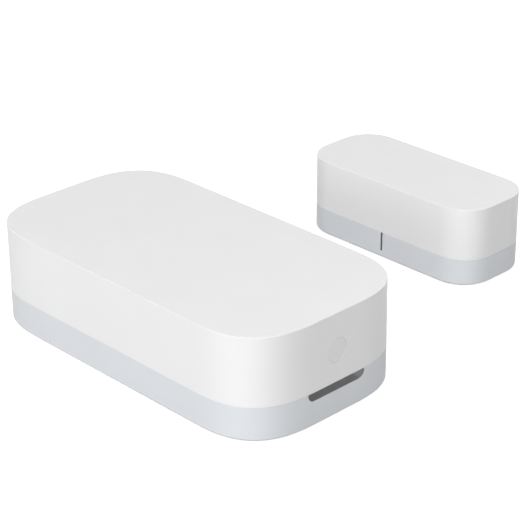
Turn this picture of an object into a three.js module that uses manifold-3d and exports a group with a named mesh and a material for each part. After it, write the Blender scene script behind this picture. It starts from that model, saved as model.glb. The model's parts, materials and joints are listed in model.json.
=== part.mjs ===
// Door contact sensor: a reed-switch unit for the frame and a magnet unit for the door.
// Millimetres, +Z up from the faces that the two units are stuck down by. The origin is the middle
// of the sensor unit's adhesive pad, +X runs to its push button and +Y to the magnet unit.
import * as THREE from "three";
import { mergeVertices } from "three/addons/utils/BufferGeometryUtils.js";
import Module from "manifold-3d";

const wasm = await Module();
wasm.setup();

// ---------------------------------------------------------------- driving dimensions

// Both cases are a grey tray with a white cover of the same outline. Insets are measured inwards
// from that outline, and levels upwards from the surface that the unit is stuck to.
const sensorCase = {
  length: 41,
  width: 22,
  corner: 8.6,
  cornerPower: 2.76,
  underside: 0.2,
  seam: 3.8,
  top: 11.2,
  wall: 1.2,
  floor: 1.4,
  roof: 1.4,
  topEdge: 0.2,
  bottomEdge: 0.2,
  lipInset: 1.55,
  lipThickness: 0.65,
  lipTop: 5.2,
  padInset: 2.4,
  ribSpacing: 18,
  ribLength: 4,
};
const magnetCase = {
  length: 25,
  width: 11,
  corner: 4.1,
  cornerPower: 2.15,
  underside: 0.2,
  seam: 3.2,
  top: 9.2,
  wall: 1.0,
  floor: 1.2,
  roof: 1.2,
  topEdge: 0.2,
  bottomEdge: 0.2,
  lipInset: 1.3,
  lipThickness: 0.6,
  lipTop: 4.4,
  padInset: 1.8,
  ribSpacing: 0,
  ribLength: 3,
};
const magnetUnitY = 34.2; // from the sensor unit's middle to the magnet unit's

const seamGap = 0.06; // between tray and cover
const padThickness = 0.75;
const padGap = 0.3; // between a pad's edge and the edge of its recess
const padRecessTop = 0.8; // level of the recess's ceiling
const ribReach = 0.2; // how far a snap rib stands out of its lip
const ribHeight = 0.35;
const cornerSteps = 6; // facets in a quarter of an outline
const roundSides = 32; // facets in a full turn
const smallSides = 16;

const mark = { width: 0.25, depth: 0.25, low: 1.0, high: 3.25 }; // alignment mark, a groove
const prySlot = { width: 7.8, height: 0.9, depth: 1.3, corner: 0.8 };

const board = { inset: 1.75, low: 5.4, high: 6.2, notchWidth: 5.2, notchDepth: 1.4 };
const partGap = 0.05; // solder thickness under a component

const button = { radius: 1.25, hole: 1.35, level: 7.25, flange: 1.8, stem: 0.7 };
const buttonX = { stemEnd: 17.7, flangeBack: 18.4, flangeFront: 19.1 };

const cell = { x: -5, radius: 8, low: 1.9, high: 5.1 };
const holder = { inner: 8.25, outer: 9.3, low: 2.4, high: 5.3, halfWidth: 8.65, clipGap: 4.4 };

const screwSpots = [
  { name: "board_screw_1", x: -16.6, y: 0 },
  { name: "board_screw_2", x: 12.4, y: -5.6 },
  { name: "board_screw_3", x: 12.4, y: 5.2 },
];
const screw = { head: 1.4, headHeight: 0.65, shank: 0.75, top: 8.7 };
const boss = { radius: 1.65, bore: 0.95, low: 6.3, boreTop: 9.1 };

const reed = {
  y: 7.1,
  z: 7.45,
  glassLength: 14,
  glassRadius: 1.05,
  glassBore: 0.8,
  neckBore: 0.42,
  leadRadius: 0.25,
  leadEnd: 10.6,
  bladeWidth: 0.9,
  bladeThickness: 0.2,
  bladeOverlap: 1.4,
  bladeGap: 0.08,
};

const barMagnet = { length: 18, width: 4.6, low: 1.5, high: 5.1 };
const foam = { length: 17, width: 4.2, low: 5.2, high: 7.8 };
const cradle = { wall: 0.8, clearance: 0.2, high: 3.0 };

// ---------------------------------------------------------------- materials

function finish(color, roughness, metalness = 0) {
  return new THREE.MeshStandardMaterial({ color, roughness, metalness });
}

const whitePlastic = finish(0xf0f0ef, 0.45);
const greyPlastic = finish(0xd3d7da, 0.5);
const blackPlastic = finish(0x1c1d1f, 0.5);
const creamPlastic = finish(0xd9d4c4, 0.5);
const adhesiveFoam = finish(0xe4e4e0, 0.9);
const darkFoam = finish(0x3a3b3d, 0.95);
const solderMask = finish(0x1f6b45, 0.35);
const steel = finish(0xb9bcc0, 0.3, 1);
const nickel = finish(0xc8c6c0, 0.22, 1);
const springBronze = finish(0xcda75e, 0.35, 1);
const clearGlass = finish(0xcfe6dc, 0.05);
const ceramic = finish(0xe8e2d4, 0.6);
const capacitorCeramic = finish(0xa98a63, 0.6);
const lampResin = finish(0xf4f1dc, 0.2);

// ---------------------------------------------------------------- solids

// A closed geometry as a solid to join and cut, its faces turned outwards.
function solid(geometry) {
  const bare = geometry.index ? geometry.toNonIndexed() : geometry.clone();
  bare.deleteAttribute("normal");
  bare.deleteAttribute("uv");
  const merged = mergeVertices(bare, 1e-4);
  const corners = merged.index.array;
  const triangles = [];
  for (let i = 0; i < corners.length; i += 3) {
    const [a, b, c] = [corners[i], corners[i + 1], corners[i + 2]];
    if (a !== b && b !== c && c !== a) triangles.push(a, b, c);
  }
  const build = (triVerts) =>
    new wasm.Manifold(
      new wasm.Mesh({
        numProp: 3,
        vertProperties: new Float32Array(merged.attributes.position.array),
        triVerts: new Uint32Array(triVerts),
      }),
    );
  const made = build(triangles);
  return made.volume() > 0 ? made : build(triangles.reverse());
}

function mesh(name, shape, material) {
  const { vertProperties, triVerts } = shape.getMesh();
  const geometry = new THREE.BufferGeometry();
  geometry.setAttribute("position", new THREE.BufferAttribute(vertProperties, 3));
  geometry.setIndex(new THREE.BufferAttribute(triVerts, 1));
  const flat = geometry.toNonIndexed();
  flat.computeVertexNormals();
  const made = new THREE.Mesh(flat, material);
  made.name = name;
  return made;
}

function block([lowX, highX], [lowY, highY], [lowZ, highZ]) {
  const geometry = new THREE.BoxGeometry(highX - lowX, highY - lowY, highZ - lowZ);
  geometry.translate((lowX + highX) / 2, (lowY + highY) / 2, (lowZ + highZ) / 2);
  return solid(geometry);
}

// Points round a rectangle whose corners are quarters of a superellipse, anticlockwise.
function outline({ length, width, corner, cornerPower }, inset = 0) {
  const halfLength = length / 2 - inset;
  const halfWidth = width / 2 - inset;
  const extent = corner - inset;
  const points = [];
  for (const [signX, signY] of [[1, 1], [-1, 1], [-1, -1], [1, -1]]) {
    for (let step = 0; step <= cornerSteps; step++) {
      const forward = signX === signY ? step : cornerSteps - step;
      const angle = (forward / cornerSteps) * (Math.PI / 2);
      const alongX = Math.abs(Math.cos(angle)) ** (2 / cornerPower);
      const alongY = Math.abs(Math.sin(angle)) ** (2 / cornerPower);
      const x = signX * (halfLength - extent + extent * alongX);
      const y = signY * (halfWidth - extent + extent * alongY);
      points.push(new THREE.Vector2(x, y));
    }
  }
  return points;
}

function prism(points, low, high) {
  const shape = new THREE.Shape(points);
  const geometry = new THREE.ExtrudeGeometry(shape, { depth: high - low, bevelEnabled: false });
  geometry.translate(0, 0, low);
  return solid(geometry);
}

// A prism with one end's edge rounded: the other end's rounding is cut off.
function roundedPrism(points, low, high, radius, roundEnd) {
  const spare = 2 * radius;
  const bottom = roundEnd === "top" ? low - spare : low;
  const top = roundEnd === "top" ? high : high + spare;
  const geometry = new THREE.ExtrudeGeometry(new THREE.Shape(points), {
    depth: top - bottom - 2 * radius,
    bevelThickness: radius,
    bevelSize: radius,
    bevelOffset: -radius,
    bevelSegments: 2,
  });
  geometry.translate(0, 0, bottom + radius);
  const reach = 100;
  const cutRange = roundEnd === "top" ? [low - reach, low] : [high, high + reach];
  return solid(geometry).subtract(block([-reach, reach], [-reach, reach], cutRange));
}

// A turned piece about Z. Each profile point is [radius, height].
function turned(profile, sides = roundSides) {
  const points = profile.map(([radius, height]) => new THREE.Vector2(radius, height));
  const geometry = new THREE.LatheGeometry(points, sides);
  geometry.rotateX(Math.PI / 2);
  return geometry;
}

function ring(inner, outer, low, high, sides = roundSides) {
  const profile = [[inner, low], [outer, low], [outer, high], [inner, high], [inner, low]];
  return solid(turned(profile, sides));
}

function rod(x, y, radius, low, high, sides = smallSides) {
  const geometry = turned([[0, low], [radius, low], [radius, high], [0, high]], sides);
  geometry.translate(x, y, 0);
  return solid(geometry);
}

// Turns a geometry drawn about Z so that its Z axis lies along the part's X.
function facingX(geometry) {
  const [x, y, z] = [0, 1, 2].map((axis) => new THREE.Vector3().setComponent(axis, 1));
  geometry.applyMatrix4(new THREE.Matrix4().makeBasis(y, z, x));
  return geometry;
}

function wire(points, radius) {
  const section = new THREE.Shape();
  section.absarc(0, 0, radius, 0, 2 * Math.PI);
  const route = new THREE.CatmullRomCurve3(points, false, "centripetal");
  const geometry = new THREE.ExtrudeGeometry(section, {
    steps: 4 * points.length,
    curveSegments: 5,
    extrudePath: route,
  });
  return solid(geometry);
}

// ---------------------------------------------------------------- case pieces

const innerFloor = (spec) => spec.underside + spec.floor;

// The grey tray: floor, wall up to the seam, and the lip that stands up inside the cover.
function tray(spec) {
  const rimLevel = spec.seam - seamGap / 2;
  const body = roundedPrism(outline(spec), spec.underside, rimLevel, spec.bottomEdge, "bottom");
  const lip = prism(outline(spec, spec.lipInset), spec.underside + 0.7, spec.lipTop);
  const hollow = prism(outline(spec, spec.lipInset + spec.lipThickness), innerFloor(spec), spec.top);
  const recess = prism(outline(spec, spec.padInset - padGap), -1, padRecessTop);
  const ribs = snapRibs(spec);
  return ribs.reduce((shape, rib) => shape.add(rib), body.add(lip)).subtract(hollow).subtract(recess);
}

// Low ribs along both long sides of the lip, which hold the cover on.
function snapRibs(spec) {
  const face = spec.width / 2 - spec.lipInset;
  const low = spec.lipTop - 3 * ribHeight;
  const ribs = [];
  for (const side of [-1, 1]) {
    for (const end of spec.ribSpacing > 0 ? [-1, 1] : [0]) {
      const middle = (end * spec.ribSpacing) / 2;
      const reachY = [side * (face - 0.3), side * (face + ribReach)].sort((a, b) => a - b);
      const reachX = [middle - spec.ribLength / 2, middle + spec.ribLength / 2];
      ribs.push(block(reachX, reachY, [low, low + ribHeight]));
    }
  }
  return ribs;
}

function cover(spec) {
  const rimLevel = spec.seam + seamGap / 2;
  const body = roundedPrism(outline(spec), rimLevel, spec.top, spec.topEdge, "top");
  return body.subtract(prism(outline(spec, spec.wall), 0, spec.top - spec.roof));
}

// The alignment mark, on the side that faces the other unit.
function markGroove(spec, side) {
  const face = (side * spec.width) / 2;
  const reachY = [face - mark.depth, face + mark.depth];
  return block([-mark.width / 2, mark.width / 2], reachY, [mark.low, mark.high]);
}

// The slot that a coin or nail goes in to lift the cover: open at the seam, rounded below.
function prySlotCut() {
  const half = prySlot.width / 2;
  const top = sensorCase.seam + 0.5;
  const low = sensorCase.seam - prySlot.height;
  const shape = new THREE.Shape();
  shape.moveTo(half, top);
  shape.lineTo(-half, top);
  shape.absarc(-half + prySlot.corner, low + prySlot.corner, prySlot.corner, Math.PI, 1.5 * Math.PI);
  shape.absarc(half - prySlot.corner, low + prySlot.corner, prySlot.corner, 1.5 * Math.PI, 2 * Math.PI);
  const geometry = new THREE.ExtrudeGeometry(shape, {
    depth: prySlot.depth + 1,
    bevelEnabled: false,
    curveSegments: 3,
  });
  facingX(geometry).translate(sensorCase.length / 2 - prySlot.depth, 0, 0);
  return solid(geometry);
}

function adhesivePad(spec) {
  return prism(outline(spec, spec.padInset), 0, padThickness);
}

function sensorTray() {
  return tray(sensorCase).subtract(prySlotCut()).subtract(markGroove(sensorCase, 1));
}

// The cover with its screw bosses and the hole for the push button.
function sensorCover() {
  const roofLevel = sensorCase.top - sensorCase.roof;
  const hole = turned([[0, 15], [button.hole, 15], [button.hole, 30], [0, 30]], roundSides);
  const holeCut = solid(facingX(hole).translate(0, 0, button.level));
  const bosses = screwSpots.map(({ x, y }) =>
    rod(x, y, boss.radius, boss.low, roofLevel + 0.3).subtract(
      rod(x, y, boss.bore, boss.low - 1, boss.boreTop),
    ),
  );
  return bosses.reduce((shape, post) => shape.add(post), cover(sensorCase)).subtract(holeCut);
}

// The tray with the low wall that the bar magnet drops into.
function magnetTray() {
  const innerX = barMagnet.length / 2 + cradle.clearance;
  const innerY = barMagnet.width / 2 + cradle.clearance;
  const outerX = innerX + cradle.wall;
  const outerY = innerY + cradle.wall;
  const floorLevel = innerFloor(magnetCase);
  const wall = block([-outerX, outerX], [-outerY, outerY], [floorLevel - 0.2, cradle.high]);
  const pocket = block([-innerX, innerX], [-innerY, innerY], [floorLevel, cradle.high + 1]);
  return tray(magnetCase).add(wall).subtract(pocket).subtract(markGroove(magnetCase, -1));
}

// ---------------------------------------------------------------- button and switch

// The push button: a face flush with the cover, a flange behind the wall and a short stem.
function buttonCap() {
  const face = sensorCase.length / 2;
  const profile = [
    [0, buttonX.stemEnd],
    [button.stem, buttonX.stemEnd],
    [button.stem, buttonX.flangeBack],
    [button.flange, buttonX.flangeBack],
    [button.flange, buttonX.flangeFront],
    [button.radius, buttonX.flangeFront],
    [button.radius, face - 0.1],
    [button.radius - 0.1, face],
    [0, face],
  ];
  return solid(facingX(turned(profile, roundSides)).translate(0, 0, button.level));
}

const tactSwitch = { back: 14, front: 17, halfWidth: 2.2, top: 8.3, sheet: 0.15 };
const plunger = { back: 16.1, front: 17.6, halfWidth: 0.8, halfHeight: 0.45, clearance: 0.2 };

function tactBody() {
  const { back, front, halfWidth, top } = tactSwitch;
  const housing = block([back, front], [-halfWidth, halfWidth], [board.high + partGap, top]);
  const halfY = plunger.halfWidth + plunger.clearance;
  const halfZ = plunger.halfHeight + plunger.clearance;
  const reachZ = [button.level - halfZ, button.level + halfZ];
  return housing.subtract(block([plunger.back - 0.4, front + 1], [-halfY, halfY], reachZ));
}

// The folded sheet over the switch: a top plate and a flange down each side.
function tactFrame() {
  const { back, front, halfWidth, top, sheet } = tactSwitch;
  const gap = 0.1;
  const inner = halfWidth + gap;
  const outer = inner + sheet;
  const shell = block([back, front], [-outer, outer], [board.high + partGap, top + gap + sheet]);
  return shell.subtract(block([back - 1, front + 1], [-inner, inner], [0, top + gap]));
}

function tactPlunger() {
  const { back, front, halfWidth, halfHeight } = plunger;
  const reachZ = [button.level - halfHeight, button.level + halfHeight];
  return block([back, front], [-halfWidth, halfWidth], reachZ);
}

// ---------------------------------------------------------------- board and its parts

function circuitBoard() {
  const end = sensorCase.length / 2 - board.inset;
  const half = board.notchWidth / 2;
  const plate = prism(outline(sensorCase, board.inset), board.low, board.high);
  const notch = block([end - board.notchDepth, end + 1], [-half, half], [board.low - 1, board.high + 1]);
  const holes = screwSpots.map(({ x, y }) => rod(x, y, boss.bore, board.low - 1, board.high + 1));
  return holes.reduce((shape, hole) => shape.subtract(hole), plate.subtract(notch));
}

function boardScrew({ x, y }) {
  const shoulder = board.low - 0.1;
  const underside = shoulder - screw.headHeight;
  const profile = [
    [0, underside],
    [screw.head - 0.25, underside],
    [screw.head, underside + 0.25],
    [screw.head, shoulder],
    [screw.shank, shoulder],
    [screw.shank, screw.top - 0.4],
    [0.25, screw.top],
    [0, screw.top],
  ];
  return solid(turned(profile, smallSides).translate(x, y, 0));
}

// Box-shaped components on the board's upper face: middle, size and material.
const components = [
  { name: "radio_chip", at: [-5.2, -2.6], size: [5, 5, 0.85], material: blackPlastic },
  { name: "crystal", at: [1.2, -3.6], size: [2.5, 3.2, 0.7], material: steel },
  { name: "chip_antenna", at: [-13.2, -5.9], size: [5, 2, 1.1], material: ceramic },
  { name: "voltage_regulator", at: [6.2, -1.6], size: [2.9, 1.6, 1.1], material: blackPlastic },
  { name: "bulk_capacitor", at: [6.2, 1.6], size: [3.2, 1.6, 1.3], material: capacitorCeramic },
  { name: "status_led", at: [16.1, -3.6], size: [0.8, 1.6, 0.7], material: lampResin },
];
const chipCapacitors = [[-9.6, -2.4], [-9.6, -0.4], [-1.2, 0.6], [-1.2, 2.4]];
const chipResistors = [[3.6, -6.6], [11.6, -2.2], [-5.2, 2.6]];
chipCapacitors.forEach((at, index) => {
  const name = `chip_capacitor_${index + 1}`;
  components.push({ name, at, size: [1.6, 0.8, 0.8], material: capacitorCeramic });
});
chipResistors.forEach((at, index) => {
  const name = `chip_resistor_${index + 1}`;
  components.push({ name, at, size: [0.8, 1.6, 0.45], material: blackPlastic });
});

function component({ at: [x, y], size: [sizeX, sizeY, sizeZ] }) {
  const low = board.high + partGap;
  return block([x - sizeX / 2, x + sizeX / 2], [y - sizeY / 2, y + sizeY / 2], [low, low + sizeZ]);
}

// ---------------------------------------------------------------- reed switch

// The glass tube, drawn in to a neck round the lead at each end.
function reedGlass() {
  const half = reed.glassLength / 2;
  const { glassRadius, glassBore, neckBore } = reed;
  const profile = [
    [neckBore, -half],
    [glassRadius - 0.25, -half],
    [glassRadius, -half + 0.4],
    [glassRadius, half - 0.4],
    [glassRadius - 0.25, half],
    [neckBore, half],
    [neckBore, half - 0.7],
    [glassBore, half - 1.2],
    [glassBore, -half + 1.2],
    [neckBore, -half + 0.7],
    [neckBore, -half],
  ];
  return solid(facingX(turned(profile, smallSides)).translate(0, reed.y, reed.z));
}

// One lead, from inside its neck, out and down to a foot on the board. side is -1 or 1.
function reedLead(side, inner) {
  const footLevel = board.high + partGap + reed.leadRadius;
  const spots = [
    [inner, reed.z],
    [8.2, reed.z],
    [8.9, reed.z - 0.25],
    [9.4, footLevel + 0.2],
    [reed.leadEnd, footLevel],
  ];
  return wire(spots.map(([x, z]) => new THREE.Vector3(side * x, reed.y, z)), reed.leadRadius);
}

const bladeRoot = 5.9; // where a blade leaves its neck, from the middle of the glass
const bladeHeights = [reed.z - reed.bladeWidth / 2, reed.z + reed.bladeWidth / 2];

// The lead whose flattened end is the fixed blade. Both blades stand on edge, side by side.
function fixedLead() {
  const face = reed.y - reed.bladeGap / 2;
  const reachX = [-bladeRoot - 0.3, reed.bladeOverlap / 2];
  return reedLead(-1, bladeRoot).add(block(reachX, [face - reed.bladeThickness, face], bladeHeights));
}

// The blade that springs away when the magnet leaves, on the side nearer the magnet unit.
function movingBlade() {
  const face = reed.y + reed.bladeGap / 2;
  const reachX = [-reed.bladeOverlap / 2, bladeRoot];
  return block(reachX, [face, face + reed.bladeThickness], bladeHeights);
}

// ---------------------------------------------------------------- coin cell and its holder

// The positive can is a cup with its open side up, the cap closes it, and a gasket parts the two.
function cellCan() {
  const { radius, low, high } = cell;
  const wall = 0.3;
  const rim = high - 0.25;
  const profile = [
    [0, low],
    [radius - 0.4, low],
    [radius, low + 0.4],
    [radius, rim],
    [radius - wall, rim],
    [radius - wall, low + wall],
    [0, low + wall],
  ];
  return solid(turned(profile));
}

function cellGasket() {
  return ring(cell.radius - 0.8, cell.radius - 0.4, cell.low + 0.5, cell.high - 0.15);
}

function cellCap() {
  const { radius, low, high } = cell;
  const rim = radius - 0.9;
  return solid(turned([[0, low + 0.4], [rim, low + 0.4], [rim, high - 0.4], [rim - 0.6, high], [0, high]]));
}

// An open collar round the cell, flat at the sides of the case and split for the spring clip.
function cellHolder() {
  const { inner, outer, low, high, halfWidth, clipGap } = holder;
  const collar = ring(inner, outer, low, high);
  const sides = block([-outer - 1, outer + 1], [-halfWidth, halfWidth], [low - 1, high + 1]);
  return collar.intersect(sides).subtract(block([0, outer + 1], [-clipGap / 2, clipGap / 2], [0, 10]));
}

// The clip that presses on the can's side, with a foot soldered under the board.
function positiveClip() {
  const tabX = cell.radius + 0.25;
  const sheet = 0.2;
  const tab = block([tabX, tabX + sheet], [-1.6, 1.6], [holder.low + 0.3, holder.high]);
  return tab.add(block([tabX, tabX + 4], [-1.6, 1.6], [holder.high - sheet, holder.high]));
}

function negativeContact() {
  const low = cell.high + 0.08;
  return block([-3, 3], [-1.2, 1.2], [low, low + 0.14]);
}

// ---------------------------------------------------------------- assembly

const sensorUnit = new THREE.Group();
sensorUnit.add(
  mesh("sensor_tray", sensorTray(), greyPlastic),
  mesh("sensor_adhesive_pad", adhesivePad(sensorCase), adhesiveFoam),
  mesh("sensor_cover", sensorCover(), whitePlastic),
  mesh("push_button", buttonCap(), whitePlastic),
  mesh("tact_switch_body", tactBody(), blackPlastic),
  mesh("tact_switch_frame", tactFrame(), steel),
  mesh("tact_switch_plunger", tactPlunger(), creamPlastic),
  mesh("circuit_board", circuitBoard(), solderMask),
  mesh("reed_glass", reedGlass(), clearGlass),
  mesh("reed_lead_fixed_blade", fixedLead(), nickel),
  mesh("reed_lead_outer", reedLead(1, bladeRoot + 0.15), nickel),
  mesh("reed_blade_moving", movingBlade(), nickel),
);
for (const spot of screwSpots) sensorUnit.add(mesh(spot.name, boardScrew(spot), steel));
for (const item of components) sensorUnit.add(mesh(item.name, component(item), item.material));

const batteryGroup = new THREE.Group();
batteryGroup.position.x = cell.x;
batteryGroup.add(
  mesh("coin_cell_can", cellCan(), nickel),
  mesh("coin_cell_gasket", cellGasket(), blackPlastic),
  mesh("coin_cell_cap", cellCap(), nickel),
  mesh("battery_holder", cellHolder(), blackPlastic),
  mesh("battery_clip_positive", positiveClip(), springBronze),
  mesh("battery_contact_negative", negativeContact(), springBronze),
);
sensorUnit.add(batteryGroup);

const magnetUnit = new THREE.Group();
magnetUnit.position.y = magnetUnitY;
const halfMagnet = [-barMagnet.length / 2, barMagnet.length / 2];
const halfFoam = [-foam.length / 2, foam.length / 2];
const barShape = block(
  halfMagnet,
  [-barMagnet.width / 2, barMagnet.width / 2],
  [barMagnet.low, barMagnet.high],
);
magnetUnit.add(
  mesh("magnet_tray", magnetTray(), greyPlastic),
  mesh("magnet_adhesive_pad", adhesivePad(magnetCase), adhesiveFoam),
  mesh("magnet_cover", cover(magnetCase), whitePlastic),
  mesh("bar_magnet", barShape, nickel),
  mesh("magnet_foam", block(halfFoam, [-foam.width / 2, foam.width / 2], [foam.low, foam.high]), darkFoam),
);

const doorContactSensor = new THREE.Group();
doorContactSensor.add(sensorUnit, magnetUnit);

export default doorContactSensor;
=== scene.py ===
"""Looks of the door contact sensor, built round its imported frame. Shapes are drawn in millimetres."""
import json
import random
from math import copysign, cos, pi, radians, sin, tan

import bmesh
import bpy
from mathutils import Matrix, Vector
from mathutils.geometry import intersect_line_line_2d


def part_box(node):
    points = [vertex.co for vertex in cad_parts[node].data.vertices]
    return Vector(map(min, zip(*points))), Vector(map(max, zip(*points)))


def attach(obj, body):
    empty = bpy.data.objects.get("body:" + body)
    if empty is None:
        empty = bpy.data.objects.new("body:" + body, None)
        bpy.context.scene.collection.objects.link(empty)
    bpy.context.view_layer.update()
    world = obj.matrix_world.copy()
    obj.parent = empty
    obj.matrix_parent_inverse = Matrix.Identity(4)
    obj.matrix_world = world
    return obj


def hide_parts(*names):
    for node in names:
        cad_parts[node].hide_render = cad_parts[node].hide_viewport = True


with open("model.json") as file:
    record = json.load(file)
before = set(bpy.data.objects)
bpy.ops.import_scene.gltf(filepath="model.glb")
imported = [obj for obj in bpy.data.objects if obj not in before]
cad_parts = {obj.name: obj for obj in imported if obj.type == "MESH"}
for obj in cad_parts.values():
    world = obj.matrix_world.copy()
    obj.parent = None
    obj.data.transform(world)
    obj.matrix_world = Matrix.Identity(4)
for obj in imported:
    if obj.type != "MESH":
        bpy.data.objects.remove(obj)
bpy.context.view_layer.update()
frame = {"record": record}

MM = 0.001
CORNER_STEPS = 24      # facets in a quarter of a case's outline
ROUND_SIDES = 96       # facets in a full turn of a large round piece
SMALL_SIDES = 40
SMOOTH_ANGLE = 32      # degrees: sharper edges than this stay crisp
SUPPORT = 0.03         # how far beyond a fillet the flat face gets its own edge loop
DRAFT = 0.006          # how far a cover's wall leans in, per unit of height
TOP_EDGE = 0.035       # radius of a cover's top edge
SEAM_GAP = 0.015       # what shows between a tray and its cover

# Corner lengths and superellipse powers of the two cases' outlines
SENSOR_CORNER = (8.6, 2.76)
MAGNET_CORNER = (4.1, 2.15)
SENSOR_ROOF = 1.4
MAGNET_ROOF = 1.2
SENSOR_LIP = 1.55      # how far inside the outline a tray's lip stands
MAGNET_LIP = 1.3
MARK_LOW, MARK_HIGH = 1.0, 3.25


def mm_box(node):
    low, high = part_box(node)
    return low / MM, high / MM


# ------------------------------------------------------------------ materials

def add_node(tree, kind, settings=None, **inputs):
    node = tree.nodes.new(kind)
    for name, value in (settings or {}).items():
        setattr(node, name, value)
    for name, value in inputs.items():
        socket = node.inputs[name.replace("_", " ")]
        if isinstance(value, bpy.types.NodeSocket):
            tree.links.new(value, socket)
        else:
            socket.default_value = value
    return node


def new_material(name, color, roughness, metallic=0.0):
    """A material, its node tree, its shader and a socket of coordinates in metres."""
    made = bpy.data.materials.new(name)
    made.use_nodes = True
    tree = made.node_tree
    shader = tree.nodes["Principled BSDF"]
    shader.inputs["Base Color"].default_value = (*color, 1)
    shader.inputs["Roughness"].default_value = roughness
    shader.inputs["Metallic"].default_value = metallic
    place = add_node(tree, "ShaderNodeTexCoord").outputs["Object"]
    return made, tree, shader, place


EVEN, ALONG_X, ALONG_Y = (1, 1, 1), (0.15, 1, 1), (1, 0.12, 1)     # how grain is drawn out


def noise(tree, place, size_mm, detail=2.0, stretch=EVEN):
    """Noise with blotches of about size_mm, drawn out along an axis where stretch is below 1."""
    vector = add_node(tree, "ShaderNodeMapping", Vector=place, Scale=stretch).outputs["Vector"]
    node = add_node(tree, "ShaderNodeTexNoise", Vector=vector, Scale=1 / (size_mm * MM), Detail=detail)
    return node.outputs["Fac"]


NOISE_RANGE = (0.3, 0.7)      # nearly all of a noise texture's values


def spread(tree, value, low, high):
    least, most = NOISE_RANGE
    node = add_node(tree, "ShaderNodeMapRange", Value=value, From_Min=least, From_Max=most, To_Min=low,
        To_Max=high)
    return node.outputs["Result"]


def vary_color(tree, shader, value, dark, light):
    ramp = add_node(tree, "ShaderNodeValToRGB", Fac=value)
    for element, position, color in zip(ramp.color_ramp.elements, NOISE_RANGE, (dark, light)):
        element.position = position
        element.color = (*color, 1)
    tree.links.new(ramp.outputs["Color"], shader.inputs["Base Color"])


def raise_bumps(tree, shader, height, depth_mm):
    bump = add_node(tree, "ShaderNodeBump", Height=height, Distance=depth_mm * MM, Strength=1.0)
    tree.links.new(bump.outputs["Normal"], shader.inputs["Normal"])


def surface(name, color, roughness, vary, blotch, grain, depth, rough_vary=0.04, stretch=EVEN, metallic=0.0):
    """A procedural surface: slow colour changes, uneven gloss and a fine grain. Sizes are in millimetres."""
    made, tree, shader, place = new_material(name, color, roughness, metallic)
    dark = [c * (1 - vary) for c in color]
    light = [min(1.0, c * (1 + vary)) for c in color]
    vary_color(tree, shader, noise(tree, place, blotch, 3.0, stretch), dark, light)
    gloss = noise(tree, place, blotch / 3, 4.0, stretch)
    tree.links.new(spread(tree, gloss, roughness - rough_vary, roughness + rough_vary),
        shader.inputs["Roughness"])
    raise_bumps(tree, shader, noise(tree, place, grain, 2.0, stretch), depth)
    return made


def foam_surface(name, color, cell_mm, depth):
    """Open foam: rounded cells, with painted shade darkening the hollows between their walls."""
    made, tree, shader, place = new_material(name, color, 0.95)
    cells = add_node(tree, "ShaderNodeTexVoronoi", Vector=place, Scale=1 / (cell_mm * MM)).outputs["Distance"]
    dark = [c * 0.55 for c in color]
    light = [min(1.0, c * 1.12) for c in color]
    # painted shade: the colour darkens towards the cell borders, where the bump below sinks into hollows
    vary_color(tree, shader, cells, light, dark)
    raise_bumps(tree, shader, cells, -depth)
    return made


def turned_metal(name, color, roughness, middle_mm, ring_mm=0.25):
    """Metal with the fine rings of a press tool round a vertical axis, and smudges over them."""
    made, tree, shader, place = new_material(name, color, roughness, 1.0)
    flat = add_node(tree, "ShaderNodeMapping", Vector=place, Scale=(1, 1, 0),
        Location=-Vector(middle_mm) * MM)
    radius = add_node(tree, "ShaderNodeVectorMath", {"operation": "LENGTH"}, Vector=flat.outputs["Vector"])
    rings = add_node(tree, "ShaderNodeTexNoise", {"noise_dimensions": "1D"}, W=radius.outputs["Value"],
                     Scale=1 / (ring_mm * MM), Detail=2.0)
    smudge = noise(tree, place, 5.0, 3.0)
    vary_color(tree, shader, smudge, [c * 0.93 for c in color], [min(1.0, c * 1.04) for c in color])
    tree.links.new(spread(tree, smudge, roughness - 0.07, roughness + 0.09), shader.inputs["Roughness"])
    raise_bumps(tree, shader, rings.outputs["Fac"], 0.0015)
    return made


def clear_glass():
    made, tree, shader, place = new_material("reed_glass_clear", (0.80, 0.93, 0.88), 0.04)
    shader.inputs["Transmission Weight"].default_value = 0.92
    shader.inputs["IOR"].default_value = 1.48
    ripple = noise(tree, place, 1.2, 2.0, (0.3, 1, 1))
    vary_color(tree, shader, ripple, (0.76, 0.91, 0.86), (0.86, 0.96, 0.92))
    tree.links.new(spread(tree, ripple, 0.02, 0.07), shader.inputs["Roughness"])
    raise_bumps(tree, shader, ripple, 0.004)
    return made


def laminate_edge():
    """The board's cut edge: layers of glass cloth in pale resin."""
    made, tree, shader, place = new_material("glass_fibre_edge", (0.50, 0.49, 0.30), 0.75)
    layers = noise(tree, place, 0.35, 2.0, (0.3, 0.3, 3.0))
    vary_color(tree, shader, layers, (0.34, 0.36, 0.19), (0.62, 0.60, 0.42))
    raise_bumps(tree, shader, layers, 0.02)
    return made


GOLD = (0.83, 0.62, 0.27)
CELL_MIDDLE = (-5, 0, 0)

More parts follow.
